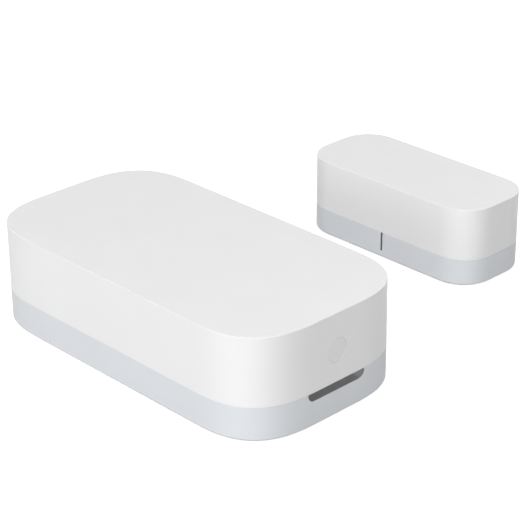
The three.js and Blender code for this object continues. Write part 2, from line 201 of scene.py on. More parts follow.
# Name, colour, roughness, share the colour changes by, blotch size, grain size and grain depth in millimetres
PLAIN = {
    "cover_white": ("satin_white_plastic", (0.86, 0.86, 0.862), 0.42, 0.006, 6, 0.09, 0.0008),
    "button_white": ("satin_white_button", (0.835, 0.835, 0.837), 0.40, 0.006, 2, 0.09, 0.0008),
    "tray_grey": ("satin_grey_plastic", (0.708, 0.73, 0.762), 0.45, 0.008, 6, 0.09, 0.0008),
    # painted shade: a dark grey lining for the pry slot's inside and the alignment marks' grooves, darker
    # than the tray's grey
    "recess_painted_shade": ("recess_painted_shade_lining", (0.31, 0.31, 0.325), 0.7, 0.08, 0.8, 0.12, 0.002),
    "cream_plastic": ("cream_plastic", (0.68, 0.64, 0.50), 0.45, 0.03, 1.0, 0.08, 0.0015),
    "switch_black": ("switch_black_plastic", (0.018, 0.018, 0.02), 0.5, 0.15, 0.8, 0.07, 0.003),
    "chip_black": ("moulded_epoxy", (0.022, 0.023, 0.025), 0.55, 0.2, 0.6, 0.06, 0.004),
    "holder_black": ("holder_black_plastic", (0.016, 0.016, 0.018), 0.42, 0.15, 3, 0.12, 0.004),
    "seal_black": ("seal_black_rubber", (0.02, 0.02, 0.022), 0.62, 0.2, 1.2, 0.12, 0.003),
    "release_film": ("waxed_release_paper", (0.70, 0.66, 0.54), 0.32, 0.05, 2.5, 0.2, 0.004),
    "solder_mask": ("green_solder_mask", (0.012, 0.115, 0.052), 0.3, 0.12, 2.2, 0.25, 0.003),
    "mask_over_copper": ("solder_mask_on_copper", (0.03, 0.2, 0.085), 0.28, 0.1, 1.0, 0.2, 0.002),
    "print_white": ("printed_white_ink", (0.80, 0.80, 0.77), 0.6, 0.05, 0.3, 0.06, 0.003),
    "ceramic": ("white_ceramic", (0.72, 0.69, 0.60), 0.55, 0.06, 0.5, 0.06, 0.005),
    "capacitor_ceramic": ("tan_ceramic", (0.36, 0.25, 0.145), 0.55, 0.1, 0.4, 0.05, 0.005),
    "led_resin": ("lamp_resin", (0.86, 0.84, 0.66), 0.15, 0.04, 0.5, 0.1, 0.001),
}

# The same, then how far the roughness wanders and the grain's direction
METAL = {
    "gold": ("plated_gold", GOLD, 0.3, 0.06, 0.8, 0.1, 0.002, 0.08, EVEN),
    "contact_gold": ("stamped_spring_bronze", GOLD, 0.3, 0.08, 1.5, 0.12, 0.002, 0.08, ALONG_X),
    "tin": ("solder_tin", (0.78, 0.78, 0.77), 0.3, 0.07, 0.5, 0.1, 0.004, 0.1, EVEN),
    "sheet_steel": ("stamped_steel", (0.66, 0.67, 0.69), 0.34, 0.06, 1.2, 0.1, 0.002, 0.08, ALONG_Y),
    "screw_steel": ("screw_steel_zinc", (0.62, 0.63, 0.66), 0.32, 0.1, 0.7, 0.08, 0.003, 0.1, EVEN),
    "magnet_nickel": ("plated_magnet_nickel", (0.70, 0.69, 0.66), 0.2, 0.05, 2.5, 0.3, 0.003, 0.06, EVEN),
    "reed_nickel": ("reed_alloy", (0.68, 0.66, 0.62), 0.28, 0.08, 0.6, 0.08, 0.002, 0.08, ALONG_X),
}

MATERIALS = {key: surface(*row) for key, row in PLAIN.items()}
MATERIALS.update({key: surface(*row, metallic=1.0) for key, row in METAL.items()})
MATERIALS["adhesive_foam"] = foam_surface("white_adhesive_foam", (0.74, 0.74, 0.71), 0.18, 0.04)
MATERIALS["foam_dark"] = foam_surface("dark_packing_foam", (0.045, 0.046, 0.05), 0.38, 0.12)
MATERIALS["glass_fibre"] = laminate_edge()
MATERIALS["cell_nickel"] = turned_metal("pressed_nickel", (0.62, 0.605, 0.57), 0.3, CELL_MIDDLE)
MATERIALS["reed_glass"] = clear_glass()


# ------------------------------------------------------------------ mesh building

def outline(size, corner, inset=0.0, steps=CORNER_STEPS):
    """Points round a rectangle whose corners are superellipse quarters, anticlockwise."""
    extent, power = corner[0] - inset, corner[1]
    half_x, half_y = size[0] / 2 - inset - extent, size[1] / 2 - inset - extent
    points = []
    for sign_x, sign_y in ((1, 1), (-1, 1), (-1, -1), (1, -1)):
        for step in range(steps + 1):
            share = step if sign_x == sign_y else steps - step
            angle = share / steps * pi / 2
            along_x = abs(cos(angle)) ** (2 / power)
            along_y = abs(sin(angle)) ** (2 / power)
            points.append((sign_x * (half_x + extent * along_x), sign_y * (half_y + extent * along_y)))
    return points


def rounded(corners, segments=4, support=SUPPORT):
    """A line through corners (a, b, radius), each turned into an arc with a support point beside it."""
    line = [corners[0][:2]]
    for before, (a, b, radius), after in zip(corners, corners[1:], corners[2:]):
        point = Vector((a, b))
        if not radius:
            line.append((a, b))
            continue
        back = (Vector(before[:2]) - point).normalized()
        ahead = (Vector(after[:2]) - point).normalized()
        half = back.angle(ahead) / 2
        reach = radius / tan(half)
        centre = point + (back + ahead).normalized() * (radius / sin(half))
        start, end = point + back * reach - centre, point + ahead * reach - centre
        sweep = start.angle_signed(end)
        line.append(tuple(point + back * (reach + support)))
        for step in range(segments + 1):
            turn = Matrix.Rotation(-sweep * step / segments, 2)
            line.append(tuple(centre + turn @ start))
        line.append(tuple(point + ahead * (reach + support)))
    line.append(corners[-1][:2])
    return line


def bridge(rings):
    """Faces between rings of equal length, and one over each end."""
    count = len(rings[0])
    vertices = [point for ring in rings for point in ring]
    faces = []
    for low in range(0, len(vertices) - count, count):
        for i in range(count):
            j = (i + 1) % count
            faces.append((low + i, low + j, low + count + j, low + count + i))
    faces += [tuple(reversed(range(count))), tuple(range(len(vertices) - count, len(vertices)))]
    return vertices, faces


def to_bmesh(vertices, faces, dissolve=True):
    made = bmesh.new()
    points = [made.verts.new(v) for v in vertices]
    for face in faces:
        made.faces.new([points[i] for i in face])
    bmesh.ops.remove_doubles(made, verts=made.verts, dist=1e-5)
    if dissolve:
        bmesh.ops.dissolve_degenerate(made, dist=1e-6, edges=made.edges)
    bmesh.ops.recalc_face_normals(made, faces=made.faces)
    return made


def case_loft(size, corner, profile, middle=(0, 0)):
    """A closed shell lofted over a case's outline. The profile is (inset, height) pairs."""
    rings = []
    for inset, height in profile:
        ring = outline(size, corner, inset)
        rings.append([(x + middle[0], y + middle[1], height) for x, y in ring])
    return to_bmesh(*bridge(rings))


def lathe(profile, sides=ROUND_SIDES, middle=(0, 0)):
    """A turned solid about Z. The profile is (radius, height) pairs, closed on itself or on the axis."""
    count, vertices, faces = len(profile), [], []
    for step in range(sides):
        angle = 2 * pi * step / sides
        vertices += [(r * cos(angle) + middle[0], r * sin(angle) + middle[1], h) for r, h in profile]
        here, there = step * count, (step + 1) % sides * count
        faces += [(here + i, there + i, there + i + 1, here + i + 1) for i in range(count - 1)]
    return to_bmesh(vertices, faces, dissolve=profile[0] != profile[-1])


def cylinder(radius, low, high, sides=SMALL_SIDES, middle=(0, 0)):
    return lathe([(0, low), (radius, low), (radius, high), (0, high)], sides, middle)


FACING_X = Matrix(((0, 0, 1, 0), (1, 0, 0, 0), (0, 1, 0, 0), (0, 0, 0, 1)))


def placed(made, matrix):
    bmesh.ops.transform(made, matrix=matrix, verts=made.verts)
    if matrix.determinant() < 0:
        bmesh.ops.reverse_faces(made, faces=made.faces[:])
    return made


def painted(made, index):
    """Gives every face one of the piece's materials."""
    for face in made.faces:
        face.material_index = index
    return made


def box(low, high, radius=0.1, segments=2, paint=0):
    """A box with every edge rounded off."""
    made = bmesh.new()
    bmesh.ops.create_cube(made, size=1)
    low, high = Vector(low), Vector(high)
    placed(made, Matrix.Translation((low + high) / 2) @ Matrix.Diagonal((*(high - low), 1)))
    if radius:
        bmesh.ops.bevel(made, geom=made.edges[:], offset=radius, segments=segments, affect="EDGES",
            profile=0.5)
    return painted(made, paint)


def prism(points, low, high, chamfer=0.0, segments=2):
    """An upright prism over a closed outline of (x, y) points, its end edges rounded."""
    made = to_bmesh(*bridge([[(x, y, z) for x, y in points] for z in (low, high)]))
    if chamfer:
        ends = [e for e in made.edges if abs(e.verts[0].co.z - e.verts[1].co.z) < 1e-6]
        bmesh.ops.bevel(made, geom=ends, offset=chamfer, segments=segments, affect="EDGES", profile=0.5)
    return made


def mesh_from(made, name="scratch"):
    """Mesh data from a bmesh, which is used up."""
    mesh = bpy.data.meshes.new(name)
    made.to_mesh(mesh)
    made.free()
    return mesh


def linked(name, data):
    thing = bpy.data.objects.new(name, data)
    bpy.context.scene.collection.objects.link(thing)
    return thing


def combined(base, others, operation):
    """base joined with or cut by each of the others, as a new bmesh. All are used up."""
    target, *tools = [linked("scratch", mesh_from(made)) for made in (base, *others)]
    for tool in tools:
        modifier = target.modifiers.new("combine", "BOOLEAN")
        modifier.operation, modifier.solver, modifier.object = operation, "EXACT", tool
    bpy.context.view_layer.update()
    evaluated = target.evaluated_get(bpy.context.evaluated_depsgraph_get())
    made = bmesh.new()
    made.from_mesh(evaluated.to_mesh())
    evaluated.to_mesh_clear()
    for thing in (target, *tools):
        mesh = thing.data
        bpy.data.objects.remove(thing)
        bpy.data.meshes.remove(mesh)
    bmesh.ops.remove_doubles(made, verts=made.verts, dist=1e-4)
    return made


def cut(base, tools):
    return combined(base, tools, "DIFFERENCE")


def fuse(base, others):
    return combined(base, others, "UNION")


def kept(base, limits):
    return combined(base, limits, "INTERSECT")


def joined(*parts):
    """Separate closed solids held in one mesh."""
    whole = bmesh.new()
    for part in parts:
        mesh = mesh_from(part)
        whole.from_mesh(mesh)
        bpy.data.meshes.remove(mesh)
    return whole


def piece(name, made, material, node, stands_for=True):
    """Turns millimetre mesh data into a piece that rides with its CAD node's body."""
    mesh = mesh_from(placed(made, Matrix.Scale(MM, 4)), name)
    mesh.shade_smooth()
    mesh.set_sharp_from_angle(angle=radians(SMOOTH_ANGLE))
    for each in [material] if isinstance(material, str) else material:
        mesh.materials.append(MATERIALS[each])
    thing = linked(name, mesh)
    weighted = thing.modifiers.new("weighted", "WEIGHTED_NORMAL")
    weighted.keep_sharp = True
    weighted.weight = 100
    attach(thing, body_of_node[node])
    if stands_for:
        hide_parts(node)
    return thing


record = frame["record"]
body_of_node = {node: body for body, nodes in record["behaviour"]["bodies"].items() for node in nodes}


# ------------------------------------------------------------------ cases

def case_size(node):
    low, high = mm_box(node)
    return (high.x - low.x, high.y - low.y), ((low.x + high.x) / 2, (low.y + high.y) / 2)


def cover_shell(node, corner, wall, roof):
    """An open-bottomed shell with a drafted wall, a soft top edge and a finely rounded rim."""
    size, middle = case_size(node)
    low, high = mm_box(node)
    lean = DRAFT * (high.z - low.z)
    inner_lean = DRAFT * (high.z - roof - low.z)
    profile = rounded([(wall + 2, high.z - roof, 0), (wall + inner_lean, high.z - roof, 0.5),
        (wall, low.z, 0.06), (0, low.z, 0.025), (lean, high.z, TOP_EDGE),
        (lean + TOP_EDGE + 0.6, high.z, 0)], segments=5)
    return case_loft(size, corner, profile, middle)


def tray_shell(node, corner, floor_level, seam_level, lip_inset, lip_thickness, pad_inset, pad_level=0.8):
    """The tray: floor, outer wall up to the seam, and the thinner lip that stands inside the cover."""
    size, middle = case_size(node)
    low, high = mm_box(node)
    inner = lip_inset + lip_thickness
    profile = rounded([(inner + 0.9, floor_level, 0), (inner, floor_level, 0.3), (inner, high.z, 0.15),
        (lip_inset, high.z, 0.25), (lip_inset, seam_level, 0.12), (0, seam_level, 0.025), (0, low.z, 0.22),
        (pad_inset, low.z, 0.06), (pad_inset, pad_level, 0.1), (pad_inset + 0.5, pad_level, 0)], segments=5)
    return case_loft(size, corner, profile, middle)


def mark_cutter(node, side):
    """The alignment mark's groove, with a flared mouth, on the side that faces the other unit."""
    size, middle = case_size(node)
    face = middle[1] + side * size[1] / 2
    half, depth = 0.13, 0.25
    section = [(-half - 0.02, face + side * 0.05), (half + 0.02, face + side * 0.05),
        (half, face - side * 0.02), (half, face - side * depth), (-half, face - side * depth),
        (-half, face - side * 0.02)]
    return prism(section, MARK_LOW, MARK_HIGH)


def paint_shade_in_box(made, low, high):
    """Gives the faces whose middles lie in a box the second of the piece's materials: the dark grey lining,
    which is painted shade.
    """
    for face in made.faces:
        middle = face.calc_center_median()
        if all(low[axis] < middle[axis] < high[axis] for axis in range(3)):
            face.material_index = 1
    return made


def paint_mark_shade(made, node, side):
    """Painted shade: the alignment mark's groove lined in dark grey."""
    size, middle = case_size(node)
    face = middle[1] + side * size[1] / 2
    near, far = sorted((face - side * 0.3, face - side * 0.005))
    return paint_shade_in_box(made, (-0.2, near, MARK_LOW - 0.1), (0.2, far, MARK_HIGH + 0.05))


cover_low, cover_high = mm_box("sensor_cover")
END_FACE = cover_high.x
BUTTON_LEVEL = sum(v.z for v in mm_box("push_button")) / 2
BUTTON_RADIUS = 1.262
HOLE_RADIUS = 1.282
BUTTON_FACE = END_FACE - 0.03
SLOT_FLOOR = END_FACE - 1.25


def button_hole():
    profile = [(0, END_FACE - 4), (HOLE_RADIUS, END_FACE - 4), (HOLE_RADIUS, END_FACE - 0.02),
        (HOLE_RADIUS + 0.012, END_FACE + 0.01), (HOLE_RADIUS + 0.012, END_FACE + 1), (0, END_FACE + 1)]
    return placed(lathe(profile), at(0, 0, BUTTON_LEVEL) @ FACING_X)


def rounded_slot(width, low, high, corner, grow=0.0):
    """The slot's outline across (y) and up (z): open at the top, rounded below."""
    half, radius = width / 2 + grow, corner + grow
    points = [(half, high), (-half, high)]
    for centre_y, start in ((-half + radius, 180), (half - radius, 270)):
        for step in range(9):
            angle = radians(start + 90 * step / 8)
            up = low - grow + radius + radius * sin(angle)
            points.append((centre_y + radius * cos(angle), up))
    return points


def pry_slot():
    """The slot's cutter: a shallow pocket with a finely flared mouth."""
    seam = SEAM - 0.03
    mouth, depth, width = END_FACE - 0.02, 0.85, 7.7
    rings = []
    for x, grow in ((SLOT_FLOOR, -0.05), (SLOT_FLOOR + 0.12, 0), (mouth, 0), (END_FACE + 0.02, 0.04),
            (END_FACE + 0.5, 0.04)):
        ring = rounded_slot(width, seam - depth, seam + 0.4, 0.8, grow)
        rings.append([(x, y, z) for y, z in ring])
    return to_bmesh(*bridge(rings))


SEAM = 3.8
SCREWS = ["board_screw_1", "board_screw_2", "board_screw_3"]
BOSS_LOW, BOSS_RADIUS, BOSS_BORE, BOSS_BORE_TOP = 6.3, 1.65, 0.95, 9.1


def middle_of(node):
    low, high = mm_box(node)
    return (low + high) / 2, high - low


def screw_boss(spot, roof_level):
    """A post that a screw bites into, flared where it meets the roof."""
    profile = rounded([(0, roof_level + 0.4, 0), (BOSS_RADIUS + 0.6, roof_level + 0.4, 0),
        (BOSS_RADIUS + 0.6, roof_level, 0), (BOSS_RADIUS, roof_level, 0.45), (BOSS_RADIUS, BOSS_LOW, 0.12),
        (BOSS_BORE, BOSS_LOW, 0.15), (BOSS_BORE, BOSS_BORE_TOP, 0.1), (0, BOSS_BORE_TOP, 0)], support=0)
    return lathe(profile, SMALL_SIDES, spot.xy)


def gussets(spot, roof_level):
    """Four thin ribs that brace a boss."""
    parts = []
    for turn in (45, 135, 225, 315):
        inner, outer = BOSS_RADIUS - 0.3, BOSS_RADIUS + 1.3
        points = [(inner, roof_level - 2.2), (BOSS_RADIUS + 0.35, roof_level - 2.2),
            (outer, roof_level + 0.2), (inner, roof_level + 0.2)]
        parts.append(slab(points, -0.3, 0.3, at(spot.x, spot.y, 0, turn)))
    return parts


def slab(points, low, high, place=Matrix.Identity(4)):
    """A flat shape of (x, z) points given thickness from y = low to y = high."""
    sides = [[(x, y, z) for x, z in points] for y in (low, high)]
    return placed(to_bmesh(*bridge(sides)), place)


def at(x, y, z=0.0, turn=0.0):
    return Matrix.Translation((x, y, z)) @ Matrix.Rotation(radians(turn), 4, "Z")


def ejector_marks(spots, level):
    """Shallow discs that the mould's ejector pins leave, half in and half out of the surface."""
    radius, reach = 1.1, 0.05
    return [cylinder(radius, level - reach, level + reach, middle=spot) for spot in spots]


def snap_ribs(node, lip_inset, middles, length):
    """Rounded ribs on both long sides of a tray's lip."""
    size, middle = case_size(node)
    face = size[1] / 2 - lip_inset
    low = mm_box(node)[1].z - 1.05
    ribs = []
    for side in (-1, 1):
        for x in middles:
            points = [(face - 0.3, low), (face + 0.08, low), (face + 0.2, low + 0.12),
                (face + 0.2, low + 0.22), (face + 0.05, low + 0.35), (face - 0.3, low + 0.35)]
            ribs.append(slab(points, -length / 2, length / 2, at(middle[0] + x, middle[1], 0, side * 90)))
    return ribs


def sensor_cover():
    roof_level = cover_high.z - SENSOR_ROOF
    spots = [middle_of(node)[0] for node in SCREWS]
    shell = cut(cover_shell("sensor_cover", SENSOR_CORNER, wall=1.2, roof=SENSOR_ROOF), [button_hole()])
    shell = fuse(shell, [rib for spot in spots for rib in gussets(spot, roof_level)])
    shell = fuse(shell, [screw_boss(spot, roof_level) for spot in spots])
    bores = [cylinder(BOSS_BORE, BOSS_LOW - 1, BOSS_BORE_TOP, middle=spot.xy) for spot in spots]
    marks = ejector_marks([(-10, 6.5), (-10, -6.5), (2, -7), (2, 3.6)], roof_level)
    piece("sensor_cover_shell", cut(shell, bores + marks), "cover_white", "sensor_cover")


def cell_seat(floor_level):
    """Two arcs that centre the coin cell over the tray's floor."""
    middle, size = middle_of("coin_cell_can")
    inner, outer, top = size.x / 2 + 0.35, size.x / 2 + 0.95, floor_level + 0.55
    seat = lathe([(inner, floor_level - 0.2), (outer, floor_level - 0.2), (outer, top - 0.1),
        (outer - 0.1, top), (inner + 0.1, top), (inner, top - 0.1), (inner, floor_level - 0.2)],
        middle=(middle.x, 0))
    gap, limits = [box((middle.x - 12, -half, 0), (middle.x + 12, half, 6), 0) for half in (2.5, 8.6)]
    return kept(cut(seat, [gap]), [limits])


def sensor_tray():
    floor_level = 1.6
    tray = tray_shell("sensor_tray", SENSOR_CORNER, floor_level, cover_low.z - SEAM_GAP, SENSOR_LIP,
        lip_thickness=0.65, pad_inset=2.1)
    foot, radius, top = 2.0, 1.3, 2.4
    post = rounded([(0, floor_level - 0.3, 0), (foot, floor_level - 0.3, 0), (foot, floor_level, 0),
        (radius, floor_level, 0.3), (radius, top, 0.1), (0, top, 0)], support=0)
    posts = [lathe(post, SMALL_SIDES, (15.2, y)) for y in (4.6, -4.6)]
    tray = fuse(tray, [cell_seat(floor_level), *posts, *snap_ribs("sensor_tray", SENSOR_LIP, (-9, 9), 4)])
    marks = ejector_marks([(9, 5.6), (9, -5.6), (-5, 0)], floor_level)
    tray = cut(tray, [pry_slot(), mark_cutter("sensor_tray", 1), *marks])
    # painted shade: the alignment mark's groove and the pry slot's inside get the dark grey lining
    tray = paint_mark_shade(tray, "sensor_tray", 1)
    tray = paint_shade_in_box(tray, (SLOT_FLOOR - 0.05, -4, SEAM - 1.1), (END_FACE - 0.1, 4, SEAM - 0.02))
    piece("sensor_tray_shell", tray, ["tray_grey", "recess_painted_shade"], "sensor_tray")


def magnet_cover():
    roof_level = mm_box("magnet_cover")[1].z - MAGNET_ROOF
    middle = middle_of("magnet_cover")[0]
    shell = cover_shell("magnet_cover", MAGNET_CORNER, wall=1.0, roof=MAGNET_ROOF)
    ribs = [box((x - 0.4, middle.y - 2.6, roof_level - 1.4), (x + 0.4, middle.y + 2.6, roof_level + 0.3),
        0.12) for x in (-9.3, 9.3)]
    piece("magnet_cover_shell", fuse(shell, ribs), "cover_white", "magnet_cover")


def magnet_tray():
    """The tray with the low wall that the bar magnet drops into."""
    floor_level, wall, clearance, top = 1.4, 0.8, 0.2, 3.0
    seam_level = mm_box("magnet_cover")[0].z - SEAM_GAP
    tray = tray_shell("magnet_tray", MAGNET_CORNER, floor_level, seam_level, MAGNET_LIP, lip_thickness=0.6,
        pad_inset=1.5)
    low, high = mm_box("bar_magnet")
    inner_low = Vector((low.x - clearance, low.y - clearance, floor_level))
    inner_high = Vector((high.x + clearance, high.y + clearance, top + 1))
    grow = Vector((wall, wall, 0.3))
    cradle = box(inner_low - grow, (inner_high.x + wall, inner_high.y + wall, top), 0.12)
    tray = fuse(tray, [cradle, *snap_ribs("magnet_tray", MAGNET_LIP, (0,), 3)])
    y = (low.y + high.y) / 2
    notches = [box((x - 1, y - 1, floor_level + 0.4), (x + 1, y + 1, top + 1), 0.15) for x in (-10, 10)]
    tray = cut(tray, [box(inner_low, inner_high), *notches, mark_cutter("magnet_tray", -1)])
    # painted shade: the alignment mark's groove gets the dark grey lining
    piece("magnet_tray_shell", paint_mark_shade(tray, "magnet_tray", -1), ["tray_grey", "recess_painted_shade"],
        "magnet_tray")


sensor_cover()
sensor_tray()
magnet_cover()
magnet_tray()

button_profile = rounded([(0, END_FACE - 2.8, 0), (0.7, END_FACE - 2.8, 0.08), (0.7, END_FACE - 2.1, 0.1),
    (1.8, END_FACE - 2.1, 0.1), (1.8, END_FACE - 1.4, 0.1), (BUTTON_RADIUS, END_FACE - 1.4, 0.05),
    (BUTTON_RADIUS, BUTTON_FACE, 0.015), (0, BUTTON_FACE, 0)], segments=3, support=0.02)
button = placed(lathe(button_profile), at(0, 0, BUTTON_LEVEL) @ FACING_X)
piece("push_button_cap", button, "button_white", "push_button")


# ------------------------------------------------------------------ sensor board

CAPACITORS = [f"chip_capacitor_{i}" for i in range(1, 5)]
RESISTORS = [f"chip_resistor_{i}" for i in range(1, 4)]

# Whether each chip part lies along X, and how high solder climbs its ends
CHIPS = {node: (True, 0.45) for node in CAPACITORS} | {node: (False, 0.3) for node in RESISTORS}
CHIPS.update({"bulk_capacitor": (True, 0.7), "chip_antenna": (True, 0.5), "status_led": (False, 0.25)})
BOARD_LOW, BOARD_TOP = mm_box("circuit_board")[0].z, mm_box("circuit_board")[1].z
BOARD_INSET = cover_high.x - mm_box("circuit_board")[1].x
FLAT = Matrix(((1, 0, 0, 0), (0, 0, 1, 0), (0, 1, 0, 0), (0, 0, 0, 1)))


def swept(corners, section, place=Matrix.Identity(4), segments=5):
    """A section of (across, off) points swept along a line in the XZ plane with rounded corners."""
    line = []
    for point in rounded(corners, segments, 0):
        if not line or (Vector(point) - line[-1]).length > 1e-4:
            line.append(Vector(point))
    rings = []
    for i, (u, v) in enumerate(line):
        along = (line[min(i + 1, len(line) - 1)] - line[max(i - 1, 0)]).normalized()
        rings.append([(u - off * along.y, across, v + off * along.x) for across, off in section])
    return placed(to_bmesh(*bridge(rings)), place)


def flat_section(width, thickness):
    half, thin = width / 2, thickness / 2
    return [(-half, -thin), (half, -thin), (half, thin), (-half, thin)]


def round_section(radius, sides=20):
    turns = [2 * pi * i / sides for i in range(sides)]
    return [(radius * cos(t), radius * sin(t)) for t in turns]


def solder(x, y):
    """A low cone of solder with hollow sides, on the board's upper face."""
    profile = [(0, 0), (1, 0), (0.98, 0.06), (0.8, 0.16), (0.6, 0.4), (0.4, 0.85), (0.24, 1), (0, 1)]
    return placed(lathe(profile, 28), at(x, y, BOARD_TOP) @ Matrix.Diagonal((1.0, 0.75, 0.5, 1)))


def end_fillets(node, along_x, height):
    """Solder that climbs the two ends of a chip component."""
    middle, size = middle_of(node)
    length, width = (size.x, size.y) if along_x else (size.y, size.x)
    points = [(length / 2 - 0.02, BOARD_TOP + 0.02), (length / 2 + 0.32, BOARD_TOP + 0.02)]
    for step in range(5):
        share = step / 4
        points.append((length / 2 + 0.3 * (1 - share) ** 2, BOARD_TOP + 0.05 + height * share))
    points.append((length / 2 - 0.02, BOARD_TOP + 0.05 + height))
    turn = 0 if along_x else 90
    return [slab(points, -width / 2 * 0.92, width / 2 * 0.92, at(middle.x, middle.y, 0, turn + half))
        for half in (0, 180)]


def board_plate():
    size, _ = case_size("sensor_cover")
    plate = prism(outline(size, SENSOR_CORNER, BOARD_INSET), BOARD_LOW, BOARD_TOP, 0.04, 1)
    end = mm_box("circuit_board")[1].x
    notch = box((end - 1.4, -2.6, BOARD_LOW - 1), (end + 1.4, 2.6, BOARD_TOP + 1), 0.35, 3)
    holes = [cylinder(0.95, 3, 8, middle=middle_of(node)[0].xy) for node in SCREWS]
    plate = cut(plate, [notch, *holes, *[cylinder(VIA_RADIUS, 3, 8, 12, spot) for spot in VIAS]])
    for face in plate.faces:
        face.normal_update()
        face.material_index = 0 if abs(face.normal.z) > 0.5 else 1
    return plate


VIAS = [(-8.0, 3.4), (-2.4, -6.6), (3.4, -1.2), (9.2, -3.4), (9.4, 3.0), (-12.4, 1.6), (-14.6, -2.6),
    (3.2, 4.4), (-7.4, -7.2), (8.2, -6.8), (14.6, 3.6), (-11.4, -3.4)]
VIA_RADIUS = 0.16
INK = 0.025            # thickness of the print
LIFT = 0.03            # how far copper stands above the board's face


def ring_pad(x, y, inner, outer, level):
    low, high = (level, level + LIFT) if level > BOARD_LOW else (level - LIFT, level)
    return lathe([(inner, low), (outer, low), (outer, high), (inner, high), (inner, low)], 32, (x, y))


def board_metal():
    """Bare plated copper: pads under the parts, via rims and the lands round the screw holes."""
    parts = [ring_pad(*spot, VIA_RADIUS, 0.3, level) for spot in VIAS for level in (BOARD_TOP, BOARD_LOW)]
    parts += [ring_pad(*middle_of(node)[0].xy, 0.98, 1.6, BOARD_LOW) for node in SCREWS]
    for node, (along_x, _) in CHIPS.items():
        parts += pads_for(node, along_x)
    for x in (-15.2, -13.7, -12.2, -10.7):
        parts.append(box((x, 3.9, BOARD_LOW - LIFT), (x + 0.8, 4.7, BOARD_LOW), 0.01, 1))
    return joined(*parts)


def pads_for(node, along_x):
    middle, size = middle_of(node)
    length, width = (size.x, size.y) if along_x else (size.y, size.x)
    low = (length / 2 - 0.35, -width / 2 - 0.08, 0)
    high = (length / 2 + 0.42, width / 2 + 0.08, LIFT)
    turn = 0 if along_x else 90
    return [placed(box(low, high, 0.01, 1), at(middle.x, middle.y, BOARD_TOP, turn + half))
        for half in (0, 180)]


def board_solder():
    parts = []
    for node, (along_x, height) in CHIPS.items():
        parts += end_fillets(node, along_x, height)
    reed_middle = middle_of("reed_glass")[0]
    foot = mm_box("reed_lead_outer")[1].x - 0.45
    return joined(*parts, *[solder(x, reed_middle.y) for x in (-foot, foot)])


def crosses(run, laid):
    """Whether a bent run meets any of the runs already laid."""
    meets = intersect_line_line_2d
    legs = [leg for other in laid for leg in zip(other, other[1:])]
    return any(meets(*leg, *other) is not None for other in legs for leg in zip(run, run[1:]))


def copper_runs(chance, starts, ends, low, high):
    """Runs bent at 45 degrees, from each start to an end that it can reach without crossing another."""
    laid, used, half = [], set(), 0.09
    for start in chance.sample(starts, len(starts)):
        for end in chance.sample(ends, len(ends)):
            dx, dy = end[0] - start[0], end[1] - start[1]
            slant, reach = sorted((abs(dx), abs(dy)))
            if start in used or end in used or slant < 0.4 or reach - slant < 0.5 or reach > 13:
                continue
            bend = (start[0] + copysign(slant, dx), start[1] + copysign(slant, dy))
            run = [Vector(point) for point in (start, bend, end)]
            if not crosses(run, laid):
                laid.append(run)
                used.update((start, end))
    section = [(low, -half), (high, -half), (high, half), (low, half)]
    return [swept([(*start, 0), (*bend, 0.3), (*end, 0)], section, FLAT, 3) for start, bend, end in laid]


def board_tracks():
    """Copper under the solder mask: from vias to parts above the board, from via to via below it."""
    chance = random.Random(7)
    nodes = [*CAPACITORS, *RESISTORS, "bulk_capacitor", "voltage_regulator", "crystal", "radio_chip"]
    ends = [tuple(middle_of(node)[0].xy) for node in nodes]
    thickness = LIFT * 0.6
    above = copper_runs(chance, VIAS, ends, BOARD_TOP, BOARD_TOP + thickness)
    return joined(*above, *copper_runs(chance, VIAS, VIAS, BOARD_LOW - thickness, BOARD_LOW))


def frame_print(node, grow=0.35, half_line=0.06):
    """Two printed lines, before and behind a part."""
    middle, size = middle_of(node)
    x0, x1 = middle.x - size.x / 2 - grow, middle.x + size.x / 2 + grow
    lines = [middle.y + side * (size.y / 2 + grow) for side in (-1, 1)]
    return [box((x0, y - half_line, BOARD_TOP), (x1, y + half_line, BOARD_TOP + INK), 0.005, 1)
        for y in lines]


def board_print():
    parts = []
    for node in ("radio_chip", "crystal", "voltage_regulator", "bulk_capacitor"):
        parts += frame_print(node)
    x, arm, half = 15.4, 0.7, 0.11
    gap = half + 0.001
    for x0, x1, y0, y1 in ((-arm, arm, -half, half), (-half, half, gap, arm), (-half, half, -arm, -gap)):
        parts.append(box((x + x0, y0, BOARD_LOW - 0.02), (x + x1, y1, BOARD_LOW), 0.004, 1))
    low, high = mm_box("radio_chip")
    dot = cylinder(0.22, BOARD_TOP, BOARD_TOP + INK, 24, (low.x - 0.6, high.y))
    return joined(*parts, dot)


# ------------------------------------------------------------------ parts on the board

def chip_part(node, along_x, cap_length, body_color):
    """A ceramic chip between two metal end caps."""
    low, high = mm_box(node)
    axis = 0 if along_x else 1
    inset = Vector((0.02, 0.02, 0.02))
    inset[axis] = cap_length * 0.8
    near_high, far_low = high.copy(), low.copy()
    near_high[axis] = low[axis] + cap_length
    far_low[axis] = high[axis] - cap_length
    body = box(low + inset, high - inset, 0.03, 2)
    caps = [box(low, near_high, 0.06, 3, paint=1), box(far_low, high, 0.06, 3, paint=1)]
    piece(f"{node}_chip", joined(body, *caps), [body_color, "tin"], node)


